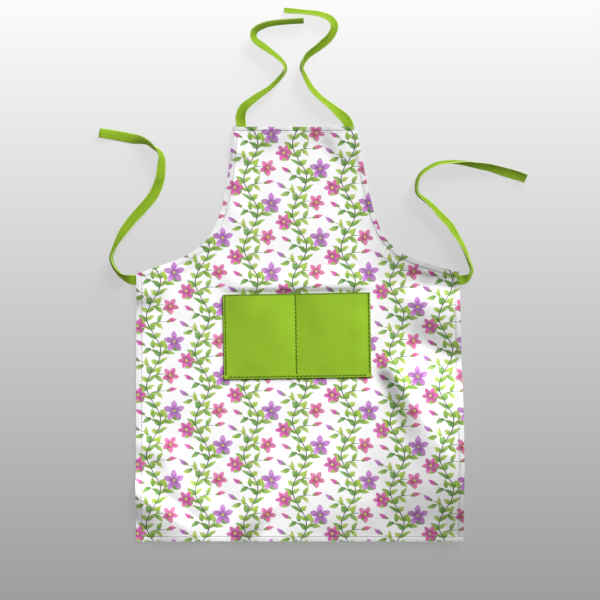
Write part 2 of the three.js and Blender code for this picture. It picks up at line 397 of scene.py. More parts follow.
# Camera, straight over the apron
CAMERA_PLACE = (0.001, 0.073, 3.567)
CAMERA_LENS = 100.0
CAMERA_SENSOR = 36.0

# Light: turn from +Y towards +X, height over the floor, softness and share of the whole
# The low key brings out the printed cloth's folds, and the green pieces have a higher and softer light
LIGHT_PLACE = (0.0, 0.0, 3.0)
KEY_TURN = math.radians(31)
KEY_ELEVATION = math.radians(22)
KEY_SOFTNESS = math.radians(30)
KEY_SHARE = 0.91
HIGH_ELEVATION = math.radians(45)
HIGH_SOFTNESS = math.radians(90)
HIGH_SHARE = 0.91
WORLD_SHARE = 0.085
BACKDROP_TONE = 0.6

# Floor: the share of its brightness that glows from it, so that it takes only faint shadows, and its painted
# falloff of light, which makes it darker evenly towards the viewer's side: the places in Y and the screen
# tones there
FLOOR_SIZE = 12.0
FLOOR_GLOW = 0.88
FLOOR_FALLOFF_REACH = (-0.62, 0.74)
FLOOR_FALLOFF_TONES = (0.595, 0.99)
SCREEN_GAMMA = 2.2
FLOOR_ROUGHNESS = 0.95
FLOOR_GLOSS = 0.1

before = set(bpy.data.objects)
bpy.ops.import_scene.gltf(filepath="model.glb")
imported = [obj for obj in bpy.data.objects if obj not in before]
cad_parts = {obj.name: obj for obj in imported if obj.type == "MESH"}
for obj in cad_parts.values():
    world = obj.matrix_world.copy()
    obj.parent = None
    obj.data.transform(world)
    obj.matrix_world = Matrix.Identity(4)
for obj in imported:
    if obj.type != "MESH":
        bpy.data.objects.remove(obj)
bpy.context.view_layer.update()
bpy.ops.object.select_all(action="DESELECT")


# Small helpers for shapes


def smoothstep(value, low, high):
    """A smooth change from 0 to 1 while the value goes from low to high."""
    share = np.clip((value - low) / (high - low), 0.0, 1.0)
    return share * share * (3.0 - 2.0 * share)


def unit(ways):
    """Ways scaled to a length of 1."""
    return ways / np.linalg.norm(ways, axis=-1, keepdims=True)


def line_lengths(points):
    """Distance along a line of points to each of them."""
    return np.concatenate([[0.0], np.cumsum(np.linalg.norm(np.diff(points, axis=0), axis=1))])


def points_along(points, distances):
    """Points at those distances along a line of points."""
    lengths = line_lengths(points)
    return np.stack([np.interp(distances, lengths, column) for column in points.T], axis=1)


def uneven(x, y, width, layer):
    """Soft unevenness from -1 to 1 over a grid of points, with lumps about as wide as width."""
    spots = zip((x / width).flat, (y / width).flat)
    return np.array([noise.noise(Vector((u, v, layer))) for u, v in spots]).reshape(x.shape)


def cloth_object(name, points, thickness, cloth_place):
    """A sheet from a grid of points in rows on its front, with a UV map in metres of the flat cloth."""
    rows, columns = points.shape[:2]
    under = points.copy()
    under[..., 2] -= thickness
    count = rows * columns
    index = np.arange(count).reshape(rows, columns)
    corners = (index[:-1, :-1], index[:-1, 1:], index[1:, 1:], index[1:, :-1])
    front = np.stack(corners, axis=-1).reshape(-1, 4)
    back = front[:, ::-1] + count
    edge = np.concatenate([index[0, :-1], index[:-1, -1], index[-1, :0:-1], index[:0:-1, 0]])
    after = np.roll(edge, -1)
    rim = np.stack([edge + count, after + count, after, edge], axis=1)
    faces = np.vstack([front, back, rim])

    mesh = bpy.data.meshes.new(name)
    mesh.from_pydata(np.vstack([points.reshape(-1, 3), under.reshape(-1, 3)]).tolist(), [], faces.tolist())
    uv_map = mesh.uv_layers.new(name="cloth")
    place = cloth_place.reshape(-1, 2)[faces.reshape(-1) % count]
    uv_map.data.foreach_set("uv", place.astype(np.float32).ravel())
    mesh.shade_smooth()
    mesh.set_sharp_from_angle(angle=RIM_ANGLE)
    piece = bpy.data.objects.new(name, mesh)
    bpy.context.scene.collection.objects.link(piece)
    return piece


# Panel


def fold_height(fold, x, y):
    """Height that one fold gives the panel at a grid of points."""
    row = dict(zip(FOLD_COLUMNS, fold))
    run_x = row["x1"] - row["x0"]
    run_y = row["y1"] - row["y0"]
    length = math.hypot(run_x, run_y)
    from_x = x - row["x0"]
    from_y = y - row["y0"]
    along = (from_x * run_x + from_y * run_y) / length**2
    across = (run_x * from_y - run_y * from_x) / length
    spread = 1.0 + (row["spread"] - 1.0) * np.clip(along, 0.0, 1.0)
    slope = np.where(across > 0.0, row["left"], row["right"] * spread)
    height = row["height"] * np.maximum(0.0, 1.0 - (across / slope) ** 2) ** 2
    if row["start_fade"]:
        height = height * smoothstep(along, -row["start_fade"], row["start_fade"])
    if row["end_fade"]:
        height = height * smoothstep(1.0 - along, -row["end_fade"], row["end_fade"])
    return height * smoothstep(distance_to_pocket(x, y), 0.0, row["settle"])


def distance_to_pocket(x, y):
    """Distance from points of the panel to the pocket's outline, 0 inside it."""
    from_x = x - POCKET_CORNER[0]
    from_y = y - POCKET_CORNER[1]
    local_x = from_x * math.cos(POCKET_LEAN) + from_y * math.sin(POCKET_LEAN)
    local_y = from_y * math.cos(POCKET_LEAN) - from_x * math.sin(POCKET_LEAN)
    out_x = np.maximum(np.maximum(-local_x, local_x - POCKET_WIDTH), 0.0)
    out_y = np.maximum(np.maximum(-local_y, local_y - POCKET_HEIGHT), 0.0)
    return np.hypot(out_x, out_y)


def tie_seat(x, y):
    """1 over a tie end that is sewn behind the panel, fading to 0 round it."""
    nearest = np.full(x.shape, np.inf)
    for route in TIE_ROUTES.values():
        start = np.array(route[0][:2])
        run = np.array(route[1][:2]) - start
        share = ((x - start[0]) * run[0] + (y - start[1]) * run[1]) / (run @ run)
        share = np.clip(share, 0.0, 1.0)
        off_x = x - start[0] - share * run[0]
        off_y = y - start[1] - share * run[1]
        nearest = np.minimum(nearest, np.hypot(off_x, off_y))
    return 1.0 - smoothstep(nearest, SEAT_REACH, SEAT_REACH + SEAT_FADE)


def folded_height(x, y):
    """Height that all the folds together give the panel."""
    return sum(fold_height(fold, x, y) for fold in FOLDS.values())


def panel_lie(x, y):
    """Height of the panel's underside over the floor."""
    folded = folded_height(x, y)
    freedom = smoothstep(distance_to_pocket(x, y), 0.0, WRINKLE_SETTLE)
    for layer, (height, width) in enumerate(WRINKLES):
        folded = folded + height * freedom * (0.5 + 0.5 * uneven(x, y, width, layer))
    return folded + SEAT_RAISE * tie_seat(x, y)


def side_edge(side):
    """One side's edge from the bottom hem to the bib, and the way into the cloth at each point."""
    hem, waist, bib = (np.array(side[name]) for name in ("hem", "waist", "bib"))
    skirt_length = waist[1] - hem[1]
    hem_climb = HEM_STOPS * BOTTOM_HEM
    rise = np.concatenate([hem_climb, np.linspace(hem_climb[-1], skirt_length, SKIRT_ROWS + 1)[1:]])
    skirt_x = hem[0] + (waist[0] - hem[0]) * (rise / skirt_length) ** 2
    skirt = np.stack([skirt_x, hem[1] + rise], axis=1)

    handles = [waist, np.array(side["waist_handle"]), np.array(side["bib_handle"]), bib]
    share = np.linspace(0.0, 1.0, ARMHOLE_STEPS)[:, None]
    weights = [(1 - share) ** 3, 3 * (1 - share) ** 2 * share, 3 * (1 - share) * share**2, share**3]
    curve = sum(weight * handle for weight, handle in zip(weights, handles))
    curve_length = line_lengths(curve)[-1]
    hem_drop = (HEM_STOPS * TOP_HEM)[::-1]
    bib_climb = np.linspace(0.0, curve_length - hem_drop[0], BIB_ROWS + 1)
    armhole = points_along(curve, np.concatenate([bib_climb, curve_length - hem_drop[1:]]))

    into = -np.sign(hem[0])
    normals = []
    for part in (skirt, armhole):
        run = unit(np.gradient(part, axis=0))
        normals.append(into * np.stack([run[:, 1], -run[:, 0]], axis=1))
    corner_way = unit(normals[0][-1] + normals[1][0])
    edge = np.vstack([skirt, armhole[1:]])
    normal = np.vstack([normals[0], normals[1][1:]])

    length = line_lengths(edge)
    corner_share = 1.0 - smoothstep(np.abs(length - length[len(skirt) - 1]), 0.0, MITRE_REACH)[:, None]
    top_share = 1.0 - smoothstep(length[-1] - length, 0.0, MITRE_REACH)[:, None]
    way = normal * (1 - corner_share) * (1 - top_share) + corner_way * corner_share
    way = unit(way + np.array([into, 0.0]) * top_share)
    return edge, way / np.sum(way * normal, axis=1, keepdims=True)


def hem_profile(cells):
    """Layers and stitch groove of a hem, for a run of cells with a hem at both ends."""
    layers = 1.0 - smoothstep(HEM_STOPS, *HEM_LAYERS_END)
    from_stitches = HEM_STOPS - HEM_STOPS[STITCH_STOP]
    groove = HEM_GROOVE * np.exp(-((from_stitches / HEM_GROOVE_WIDTH) ** 2))
    middle = np.zeros(cells - 2 * len(HEM_STOPS))
    return [np.concatenate([part, middle, part[::-1]]) for part in (layers, groove)]


def hem_rise(flat):
    """Share of a hem's height that the cloth has, falling slowly to 0 away from the edges."""
    from_left = np.linalg.norm(flat - flat[:, :1], axis=2) - SIDE_HEM
    from_right = np.linalg.norm(flat - flat[:, -1:], axis=2) - SIDE_HEM
    from_bottom = np.linalg.norm(flat - flat[:1], axis=2) - BOTTOM_HEM
    from_top = np.linalg.norm(flat - flat[-1:], axis=2) - TOP_HEM
    inward = np.minimum(np.minimum(from_left, from_right), np.minimum(from_bottom, from_top))
    return 1.0 - smoothstep(inward, 0.0, HEM_EASE)


def make_apron_panel(front_finish, back_finish):
    """The panel's sheet with its hems and folds, its flat area, and the lines its hems are sewn along."""
    left, left_way = side_edge(SIDES["left"])
    right, right_way = side_edge(SIDES["right"])
    inset = (HEM_STOPS * SIDE_HEM)[None, :, None]
    left_hem = left[:, None] + left_way[:, None] * inset
    right_hem = (right[:, None] + right_way[:, None] * inset)[:, ::-1]
    share = np.linspace(0.0, 1.0, PANEL_COLUMNS + 1)[None, 1:-1, None]
    middle = left_hem[:, -1:] * (1.0 - share) + right_hem[:, :1] * share
    flat = np.concatenate([left_hem, middle, right_hem], axis=1)
    x, y = flat[..., 0], flat[..., 1]

    across, along = (hem_profile(cells) for cells in flat.shape[1::-1])
    hem, groove = (np.maximum(side[None, :], end[:, None]) for side, end in zip(across, along))
    from_top = np.linalg.norm(flat - flat[-1:], axis=2)
    curl = TOP_CURL * np.maximum(0.0, 1.0 - from_top / TOP_HEM) ** TOP_CURL_POWER
    pucker = PUCKER * hem * (0.5 + 0.5 * uneven(x, y, PUCKER_WIDTH, PUCKER_LAYER))
    top = panel_lie(x, y) + CLOTH + HEM_EXTRA * hem_rise(flat) + pucker + curl - groove
    points = np.dstack([x, y, top])

    panel = cloth_object("apron_cloth", points, CLOTH + HEM_EXTRA * hem - groove, flat)
    # Share of turned layers at each point, which the finish uses for painted shade on the hem bands
    hem_painted_shade = panel.data.attributes.new("hem", "FLOAT", "POINT")
    hem_painted_shade.data.foreach_set("value", np.tile(hem.ravel(), 2).astype(np.float32))
    panel.data.materials.append(front_finish)
    panel.data.materials.append(back_finish)
    front_count = (flat.shape[0] - 1) * (flat.shape[1] - 1)
    for face in panel.data.polygons[front_count:2 * front_count]:
        face.material_index = 1

    outline = np.vstack([left, right[::-1]])
    after = np.roll(outline, -1, axis=0)
    area = 0.5 * abs(np.sum(outline[:, 0] * after[:, 1] - outline[:, 1] * after[:, 0]))
    seams = [
        points[STITCH_STOP:-STITCH_STOP, STITCH_STOP],
        points[STITCH_STOP:-STITCH_STOP, -1 - STITCH_STOP],
        points[STITCH_STOP, STITCH_STOP:-STITCH_STOP],
        points[-1 - STITCH_STOP, STITCH_STOP:-STITCH_STOP],
    ]
    return panel, float(area), seams


# Pocket


def make_pocket():
    """The pocket's sheet over the panel, with its two pouches, and the lines it is sewn along."""
    edge_stops = np.array([*POCKET_EDGE_STOPS, POCKET_STITCH_INSET, POCKET_SEAM])
    seam_half = POCKET_SEAM / 2
    seam_stops = CENTRE_SEAM + np.linspace(-seam_half, seam_half, CENTRE_SEAM_STOPS)
    left_pouch = np.linspace(edge_stops[-1], seam_stops[0], POUCH_COLUMNS + 1)[1:-1]
    right_pouch = np.linspace(seam_stops[-1], POCKET_WIDTH - POCKET_SEAM, POUCH_COLUMNS + 1)[1:-1]
    right_edge = POCKET_WIDTH - edge_stops[::-1]
    across = np.concatenate([edge_stops, left_pouch, seam_stops, right_pouch, right_edge])
    mouth_stops = POCKET_HEIGHT - np.array(POCKET_EDGE_STOPS)[::-1]
    pouch_rows = np.linspace(POCKET_SEAM, mouth_stops[0], POUCH_ROWS + 1)[1:]
    up = np.concatenate([edge_stops, pouch_rows, mouth_stops[1:]])
    local_x, local_y = np.meshgrid(across, up)

    in_left = np.clip((local_x - POCKET_SEAM) / (seam_stops[0] - POCKET_SEAM), 0.0, 1.0)
    in_right = np.clip((local_x - seam_stops[-1]) / (POCKET_WIDTH - POCKET_SEAM - seam_stops[-1]), 0.0, 1.0)
    share = np.where(local_x < CENTRE_SEAM, in_left, in_right)
    rise = np.clip((local_y - POCKET_SEAM) / (POCKET_HEIGHT - POCKET_SEAM), 0.0, 1.0)
    bulge = POUCH_LIFT * (1.0 - np.abs(2.0 * share - 1.0) ** POUCH_FULLNESS)
    bulge = bulge * (1.0 - (1.0 - rise) ** POUCH_OPENING)

    from_edge = np.minimum(np.minimum(local_x, POCKET_WIDTH - local_x), local_y)
    from_seam = np.abs(local_x - CENTRE_SEAM)
    from_sewing = np.minimum(from_edge, from_seam)
    from_stitches = np.minimum(np.abs(from_edge - POCKET_STITCH_INSET), from_seam)
    from_rim = np.minimum(from_edge, POCKET_HEIGHT - local_y)
    roll = POCKET_EDGE_ROLL * np.maximum(0.0, 1.0 - from_rim / POCKET_ROLL_REACH) ** 2
    groove = POCKET_GROOVE * np.exp(-((from_stitches / POCKET_GROOVE_WIDTH) ** 2))
    turning = POCKET_TURNING * (1.0 - smoothstep(from_edge, *POCKET_TURNING_END))
    slack = POCKET_SLACK * smoothstep(from_sewing, *POCKET_SLACK_REACH)
    slack = slack * uneven(local_x, local_y, POCKET_SLACK_WIDTH, POCKET_SLACK_LAYER)
    pucker = POCKET_PUCKER * (1.0 - smoothstep(from_sewing, *POCKET_PUCKER_REACH))
    pucker = pucker * uneven(local_x, local_y, POCKET_PUCKER_WIDTH, POCKET_PUCKER_LAYER)
    height = CLOTH + PIECE_GAP + bulge + CLOTH + turning + slack + pucker - roll - groove

    x = POCKET_CORNER[0] + local_x * math.cos(POCKET_LEAN) - local_y * math.sin(POCKET_LEAN)
    y = POCKET_CORNER[1] + local_x * math.sin(POCKET_LEAN) + local_y * math.cos(POCKET_LEAN)
    points = np.dstack([x, y, height])
    pocket = cloth_object("pocket_cloth", points, CLOTH, np.dstack([local_x, local_y]))

    stitch_stop = len(POCKET_EDGE_STOPS)
    centre = len(edge_stops) + len(left_pouch) + CENTRE_SEAM_STOPS // 2
    seams = [
        points[stitch_stop:, stitch_stop],
        points[stitch_stop:, -1 - stitch_stop],
        points[stitch_stop, stitch_stop:-stitch_stop],
        points[stitch_stop:, centre],
    ]
    return pocket, seams


# Stitches


def sew(name, seams, stitch, lean=0.0):
    """Stitches along lines of points, each one a small thread lump lying on its line."""
    pitch, length, thickness = stitch
    bpy.ops.object.select_all(action="DESELECT")
    bpy.ops.mesh.primitive_uv_sphere_add(segments=STITCH_SIDES, ring_count=STITCH_RINGS, radius=0.5)
    pattern = bpy.context.object
    pattern.name = name
    shape = np.array([vertex.co for vertex in pattern.data.vertices])[:, [2, 0, 1]]
    shape[:, 0] = np.sign(shape[:, 0]) * np.abs(2 * shape[:, 0]) ** STITCH_BLUNTNESS / 2
    shape = shape * np.array([length, thickness, thickness * STITCH_FLATNESS])
    # Blender lists a sphere's faces in another order each run, so they are sorted
    pattern_faces = sorted(list(face.vertices) for face in pattern.data.polygons)

    chance = np.random.default_rng(STITCH_SEED)
    corners, faces = [], []
    for seam in seams:
        stations = np.arange(pitch, line_lengths(seam)[-1] - pitch / 2, pitch)
        places = points_along(seam, stations)
        step = pitch / 3
        ahead = unit(points_along(seam, stations + step) - points_along(seam, stations - step))
        for place, forward in zip(places, ahead):
            side = unit(np.cross((0.0, 0.0, 1.0), forward))
            up = np.cross(forward, side)
            turn = lean + chance.normal(0.0, STITCH_TURN_SPREAD)
            long_way = forward * math.cos(turn) + side * math.sin(turn)
            side_way = side * math.cos(turn) - forward * math.sin(turn)
            first = len(corners) * len(shape)
            size = chance.uniform(*STITCH_SIZE_SPREAD)
            stitch_points = shape @ np.stack([long_way, side_way, up]) * size
            corners.append(stitch_points + place + up * thickness * STITCH_FLATNESS * STITCH_RISE)
            faces.extend([first + index for index in face] for face in pattern_faces)
    mesh = bpy.data.meshes.new(name)
    mesh.from_pydata(np.vstack(corners).tolist(), [], faces)
    mesh.shade_smooth()
    pattern.data = mesh
    pattern.location = (0.0, 0.0, 0.0)
    return pattern


# Ties


def through_rows(rows, steps):
    """A smooth line through the rows, with even steps from each row to the next."""
    rows = np.array(rows, float)
    padded = np.vstack([2 * rows[0] - rows[1], rows, 2 * rows[-1] - rows[-2]])
    share = np.linspace(0.0, 1.0, steps, endpoint=False)[:, None]
    parts = []
    for before, start, end, after in zip(padded, padded[1:], padded[2:], padded[3:]):
        bend = 2 * before - 5 * start + 4 * end - after
        twist = 3 * start - before - 3 * end + after
        parts.append(0.5 * (2 * start + (end - before) * share + bend * share**2 + twist * share**3))
    return np.vstack(parts + [rows[-1:]])


def make_tie(name, route):
    """A tape along its route, rolled about its run, from its sewn end behind the panel to the floor."""
    line = through_rows(route, TIE_STEPS)
    run = np.column_stack([line[:, :2], np.zeros(len(line))])
    roll = np.radians(line[:, 2])[:, None]
    forward = unit(np.gradient(run, axis=0))
    flat_across = np.cross((0.0, 0.0, 1.0), forward)
    across = flat_across * np.cos(roll) + np.array([0.0, 0.0, 1.0]) * np.sin(roll)
    face = np.cross(forward, across)
    half_height = (TIE_WIDTH * np.abs(across[:, 2]) + TIE_THICKNESS * np.abs(face[:, 2])) / 2
    sewn = 1.0 - smoothstep(line_lengths(run), SEWN_RUN, SEWN_RUN + SEWN_FALL)
    lifted = sewn * (TIE_THICKNESS / 2 + folded_height(run[:, 0], run[:, 1]))
    centre = run + np.array([0.0, 0.0, 1.0]) * (PIECE_GAP + np.maximum(half_height, lifted))[:, None]
    lowest = centre[:, 2] - half_height

    section_across = np.concatenate([TAPE_ACROSS, TAPE_ACROSS[::-1]]) * TIE_WIDTH
    section_face = np.concatenate([-TAPE_EDGE, TAPE_EDGE[::-1]]) * TIE_THICKNESS
    arch = 1.0 - (2.0 * section_across / TIE_WIDTH) ** 2
    cup = (TAPE_CUP + TAPE_CURL * np.sin(roll) ** TAPE_CURL_POWER) * (1.0 - sewn[:, None])
    ripple_along = line_lengths(run)[:, None] / TAPE_RIPPLE_LENGTH
    ripple_place = np.broadcast_arrays(ripple_along, section_across / TIE_WIDTH)
    ripple = uneven(*ripple_place, 1.0, layer=len(route))
    slack = TAPE_RIPPLE * np.cos(roll) ** 2 * (1.0 - sewn[:, None])
    face_place = section_face - cup * arch + slack * ripple
    corners = centre[:, None] + across[:, None] * section_across[None, :, None]
    corners = corners + face[:, None] * face_place[:, :, None]
    corners[..., 2] += lowest[:, None] - corners[..., 2].min(axis=1, keepdims=True)

    sides = len(section_across)
    faces = []
    for station in range(len(line) - 1):
        for side in range(sides):
            near = station * sides
            after = (side + 1) % sides
            faces.append((near + side, near + after, near + sides + after, near + sides + side))
    end = (len(line) - 1) * sides
    faces.append(tuple(range(sides))[::-1])
    faces.append(tuple(range(end, end + sides)))
    mesh = bpy.data.meshes.new(name)
    mesh.from_pydata(corners.reshape(-1, 3).tolist(), [], faces)

    length = line_lengths(centre)
    uv_map = mesh.uv_layers.new(name="cloth")
    for loop, place in zip(mesh.loops, uv_map.data):
        station, side = divmod(loop.vertex_index, sides)
        place.uv = (section_across[side], length[station])
    mesh.shade_smooth()
    tie = bpy.data.objects.new(name + "_tape", mesh)
    bpy.context.scene.collection.objects.link(tie)
    return tie, centre


# Node helpers


def linear(code):
    """An sRGB colour code as the linear colour that a shader takes."""
    values = [int(code[place:place + 2], 16) / 255 for place in (1, 3, 5)]
    return tuple(v / 12.92 if v <= 0.04045 else ((v + 0.055) / 1.055) ** 2.4 for v in values) + (1.0,)


def wire(tree, kind, *inputs, **settings):
    """Adds a node, feeds its inputs in order with sockets or plain values, and returns its first output."""
    made = tree.nodes.new(kind)
    for name, value in settings.items():
        setattr(made, name, value)
    for socket, value in zip([s for s in made.inputs if s.enabled], inputs):
        if isinstance(value, bpy.types.NodeSocket):
            tree.links.new(value, socket)
        elif value is not None:
            socket.default_value = value
    return next(s for s in made.outputs if s.enabled)


def maths(tree, operation, *inputs):
    return wire(tree, "ShaderNodeMath", *inputs, operation=operation)


def vectors(tree, operation, *inputs):
    return wire(tree, "ShaderNodeVectorMath", *inputs, operation=operation)


def ease(tree, value, low, high, to_low=0.0, to_high=1.0):
    """A smooth change from to_low to to_high while the value goes from low to high."""
    return wire(
        tree, "ShaderNodeMapRange", value, low, high, to_low, to_high, interpolation_type="SMOOTHSTEP",
    )


def blend(tree, share, first, second, way="MIX"):
    return wire(tree, "ShaderNodeMix", share, first, second, data_type="RGBA", blend_type=way)


def split(tree, vector):
    """The first two numbers of a vector."""
    made = tree.nodes.new("ShaderNodeSeparateXYZ")
    tree.links.new(vector, made.inputs[0])
    return made.outputs[0], made.outputs[1]


def cloudy(tree, vector, scale, detail=2.0):
    """Noise from 0 to 1, and its colour, at lumps of 1/scale."""
    made = tree.nodes.new("ShaderNodeTexNoise")
    tree.links.new(vector, made.inputs["Vector"])
    made.inputs["Scale"].default_value = scale
    made.inputs["Detail"].default_value = detail
    return made.outputs[0], made.outputs[1]


def group(name, inputs, output):
    """A node group with its inputs, by name and kind, and one output."""
    tree = bpy.data.node_groups.new(name, "ShaderNodeTree")
    for label, kind in inputs.items():
        tree.interface.new_socket(label, in_out="INPUT", socket_type="NodeSocket" + kind)
    tree.interface.new_socket(output[0], in_out="OUTPUT", socket_type="NodeSocket" + output[1])
    entry = tree.nodes.new("NodeGroupInput").outputs
    leave = tree.nodes.new("NodeGroupOutput").inputs[0]
    return tree, {label: entry[label] for label in inputs}, leave


# Print and weave


def stroke_group():
    """One brush stroke of the print: a leaf, bud or twig on its own line, over the colour under it."""
    tree, given, leave = group(
        "print_stroke",
        {
            "Under": "Color", "Place": "Vector", "Start": "Vector", "Along": "Vector", "Across": "Vector",
            "Length": "Float", "Width": "Float", "Bend": "Float", "Rib": "Float",
            "Base": "Color", "Tip": "Color", "Ink": "Float",
        },
        ("Colour", "Color"),
    )
    local = vectors(tree, "SUBTRACT", given["Place"], given["Start"])
    along = vectors(tree, "DOT_PRODUCT", local, given["Along"])
    across = vectors(tree, "DOT_PRODUCT", local, given["Across"])
    share = maths(tree, "DIVIDE", along, given["Length"])
    share = wire(tree, "ShaderNodeClamp", share, *STROKE_SHARES)
    arch = maths(tree, "MULTIPLY", share, maths(tree, "SUBTRACT", 1.0, share))
    across = maths(tree, "MULTIPLY_ADD", arch, given["Bend"], across)
    off = maths(tree, "ABSOLUTE", across)
    taper = maths(tree, "MULTIPLY_ADD", share, *STROKE_TAPER)
    half = maths(tree, "MULTIPLY", maths(tree, "MULTIPLY", taper, arch), given["Width"])
    inside = maths(tree, "SUBTRACT", half, off)
    mask = ease(tree, inside, *STROKE_EDGE)
    rib = ease(tree, off, 0.0, RIB_WIDTH, given["Rib"], 1.0)
    halves = ease(tree, across, *HALVES_FADE, *HALVES_TONES)
    rim = ease(tree, inside, 0.0, STROKE_RIM_WIDTH, STROKE_RIM_TONE, 1.0)
    shade = maths(tree, "MULTIPLY", maths(tree, "MULTIPLY", rib, halves), rim)
    colour = blend(tree, share, given["Base"], given["Tip"])
    colour = vectors(tree, "SCALE", colour, shade)
    tree.links.new(blend(tree, maths(tree, "MULTIPLY", mask, given["Ink"]), given["Under"], colour), leave)
    return tree


def blossom_group():
    """One open blossom of the print, its petals turned round its heart."""
    tree, given, leave = group(
        "print_blossom",
        {
            "Under": "Color", "Place": "Vector", "Centre": "Vector", "Turn": "Float", "Radius": "Float",
            "Width": "Float", "Petal angle": "Float", "Base": "Color", "Tip": "Color", "Heart": "Color",
            "Ink": "Float",
        },
        ("Colour", "Color"),
    )
    local = vectors(tree, "SUBTRACT", given["Place"], given["Centre"])
    x, y = split(tree, local)
    out = vectors(tree, "LENGTH", local)
    angle = maths(tree, "SUBTRACT", maths(tree, "ARCTAN2", y, x), given["Turn"])
    petal = maths(tree, "ROUND", maths(tree, "DIVIDE", angle, given["Petal angle"]))
    angle = maths(tree, "SUBTRACT", angle, maths(tree, "MULTIPLY", petal, given["Petal angle"]))
    off = maths(tree, "ABSOLUTE", maths(tree, "MULTIPLY", out, angle))
    share = maths(tree, "DIVIDE", out, given["Radius"])
    share = wire(tree, "ShaderNodeClamp", share, *STROKE_SHARES)
    arch = maths(tree, "MULTIPLY", share, maths(tree, "SUBTRACT", 1.0, share))
    swell = maths(tree, "MULTIPLY_ADD", share, *PETAL_SWELL)
    half = maths(tree, "MULTIPLY", maths(tree, "MULTIPLY", swell, arch), given["Width"])
    inside = maths(tree, "SUBTRACT", half, off)
    mask = ease(tree, inside, *PETAL_EDGE)
    vein = ease(tree, off, 0.0, VEIN_WIDTH, VEIN_TONE, 1.0)
    tone = maths(tree, "SINE", maths(tree, "MULTIPLY", petal, PETAL_TURN))
    tone = maths(tree, "MULTIPLY_ADD", tone, *PETAL_TONES)
    rim = ease(tree, inside, 0.0, PETAL_RIM_WIDTH, PETAL_RIM_TONE, 1.0)
    shade = maths(tree, "MULTIPLY", maths(tree, "MULTIPLY", vein, tone), rim)
    colour = blend(tree, ease(tree, share, *PETAL_CHANGE), given["Base"], given["Tip"])
    colour = vectors(tree, "SCALE", colour, shade)
    colour = blend(tree, maths(tree, "MULTIPLY", mask, given["Ink"]), given["Under"], colour)
    heart = ease(tree, out, *HEART_EDGE, 1.0, 0.0)
    tree.links.new(blend(tree, heart, colour, given["Heart"]), leave)
    return tree


def repeat_place(tree, x, y):
    """Place on the half-drop repeat, measured from the middle of the nearest column of the print."""
    column = maths(tree, "ROUND", maths(tree, "DIVIDE", x, REPEAT_WIDTH))
    x = maths(tree, "MULTIPLY_ADD", column, -REPEAT_WIDTH, x)
    y = maths(tree, "MULTIPLY_ADD", column, -REPEAT_HEIGHT / 2, y)
    return x, y


def wrapped(tree, value, period):
    """A value brought into the period round 0."""
    turns = maths(tree, "ROUND", maths(tree, "DIVIDE", value, period))
    return maths(tree, "MULTIPLY_ADD", turns, -period, value)


def sprig_middle(strokes, blossoms):
    """Middle of a sprig's reach from where it leaves the vine, so that the repeat cuts none of it."""
    x, y = [0.0], [0.0]
    for _, start_x, start_y, heading, length, _, _ in strokes:
        x.append(start_x + length * math.cos(math.radians(heading)))
        y.append(start_y + length * math.sin(math.radians(heading)))
    for _, centre_x, centre_y, _, radius, _, _, _ in blossoms:
        x.extend((centre_x - radius, centre_x + radius))
        y.extend((centre_y - radius, centre_y + radius))
    return (min(x) + max(x)) / 2, (min(y) + max(y)) / 2


